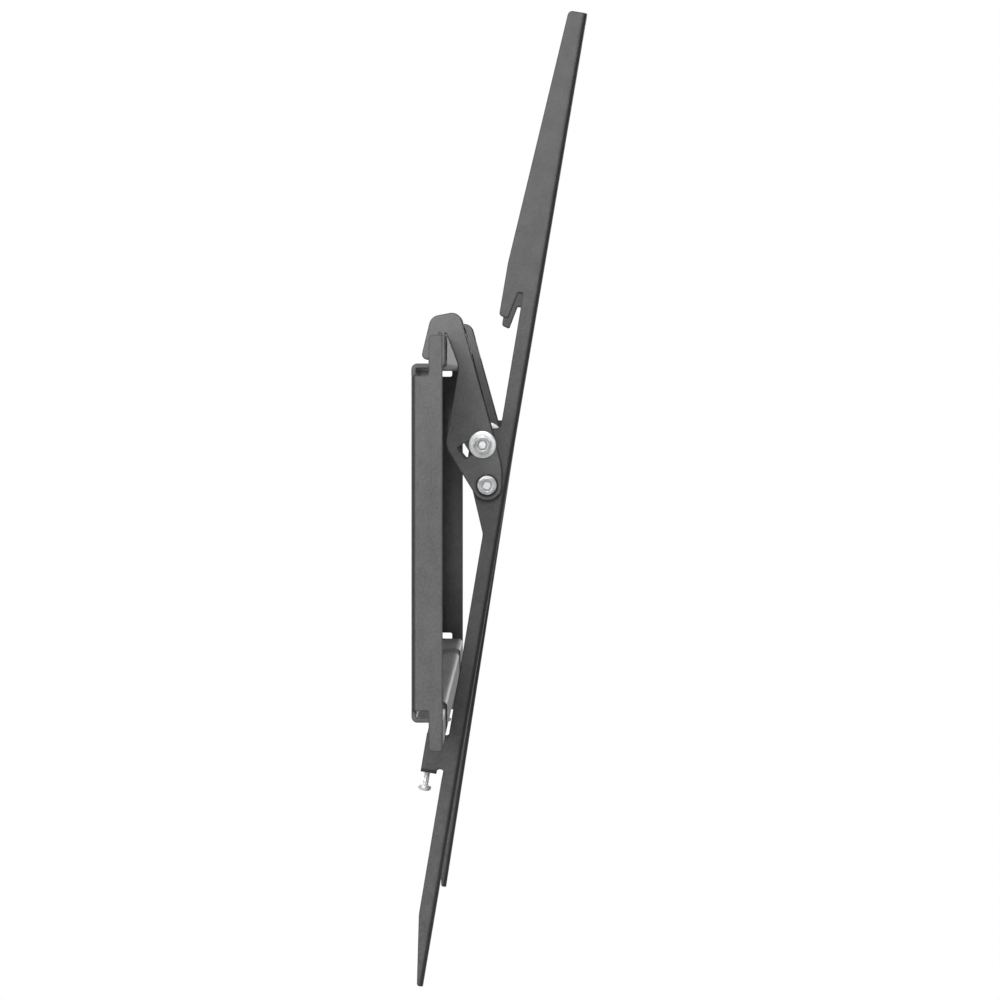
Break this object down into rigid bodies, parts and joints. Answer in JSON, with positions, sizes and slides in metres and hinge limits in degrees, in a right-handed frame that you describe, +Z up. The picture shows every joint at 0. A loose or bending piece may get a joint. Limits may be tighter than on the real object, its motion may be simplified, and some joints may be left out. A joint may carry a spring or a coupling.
{
  "type": "tilting tv wall mount",
  "caption": "Tilting screen wall mount: bent-sheet wall plate, hook-on hangers and slotted arms that tilt on pivot bolts, held by a clamp bolt in an arc slot.",
  "frame": {"origin": "on the wall, at the middle of the wall plate's back", "axes": "+X along the plate, -Y out of the wall towards the screen, +Z up"},
  "size_m": [0.6, 0.0754, 0.4308],
  "materials": {
    "plate_paint": "fine-textured powder coat",
    "hanger_paint": "fine-textured powder coat",
    "arm_paint": "fine-textured powder coat",
    "zinc": "bright zinc plate",
    "turned_steel": "turned",
    "nut_nylon": "natural nylon",
    "disc_nylon": "black nylon"
  },
  "bodies": {
    "plate": {"wall_plate": "plate_paint"},
    "left_hanger": {"left_hook_bracket": "hanger_paint", "left_pivot_bolt": "zinc", "left_pivot_nut": "zinc", "left_pivot_nut_ring": "nut_nylon", "left_pivot_seats": "disc_nylon", "left_pivot_sleeve": "turned_steel", "left_pivot_washers": "disc_nylon"},
    "left_arm": {"left_tv_arm": "arm_paint", "left_tilt_bolt": "zinc", "left_tilt_nut": "zinc", "left_tilt_nut_ring": "nut_nylon", "left_tilt_washer_outer": "zinc", "left_tilt_washer_inner": "zinc", "left_tilt_spacer": "turned_steel", "left_friction_discs": "disc_nylon", "left_slot_bushes": "disc_nylon"},
    "left_lock": {"left_lock_screw": "zinc"},
    "right_hanger": {"right_hook_bracket": "hanger_paint", "right_pivot_bolt": "zinc", "right_pivot_nut": "zinc", "right_pivot_nut_ring": "nut_nylon", "right_pivot_seats": "disc_nylon", "right_pivot_sleeve": "turned_steel", "right_pivot_washers": "disc_nylon"},
    "right_arm": {"right_tv_arm": "arm_paint", "right_tilt_bolt": "zinc", "right_tilt_nut": "zinc", "right_tilt_nut_ring": "nut_nylon", "right_tilt_washer_outer": "zinc", "right_tilt_washer_inner": "zinc", "right_tilt_spacer": "turned_steel", "right_friction_discs": "disc_nylon", "right_slot_bushes": "disc_nylon"},
    "right_lock": {"right_lock_screw": "zinc"}
  },
  "joints": [
    {"name": "left_hanger_slide", "type": "slide", "parent": "plate", "child": "left_hanger", "axis": [1, 0, 0], "range_m": [-0.07, 0.1]},
    {"name": "left_tilt", "type": "hinge", "parent": "left_hanger", "child": "left_arm", "pos_m": [-0.2, -0.0312, 0.0227], "axis": [1, 0, 0], "range_deg": [-17, 0]},
    {"name": "left_lock_travel", "type": "slide", "parent": "left_arm", "child": "left_lock", "axis": [0, -0.1668, 0.986], "range_m": [0, 0.006]},
    {"name": "right_hanger_slide", "type": "slide", "parent": "plate", "child": "right_hanger", "axis": [1, 0, 0], "range_m": [-0.1, 0.07]},
    {"name": "right_tilt", "type": "hinge", "parent": "right_hanger", "child": "right_arm", "pos_m": [0.2, -0.0312, 0.0227], "axis": [1, 0, 0], "range_deg": [-16.2, 0.8]},
    {"name": "right_lock_travel", "type": "slide", "parent": "right_arm", "child": "right_lock", "axis": [0, -0.153, 0.9882], "range_m": [0, 0.0025]}
  ]
}
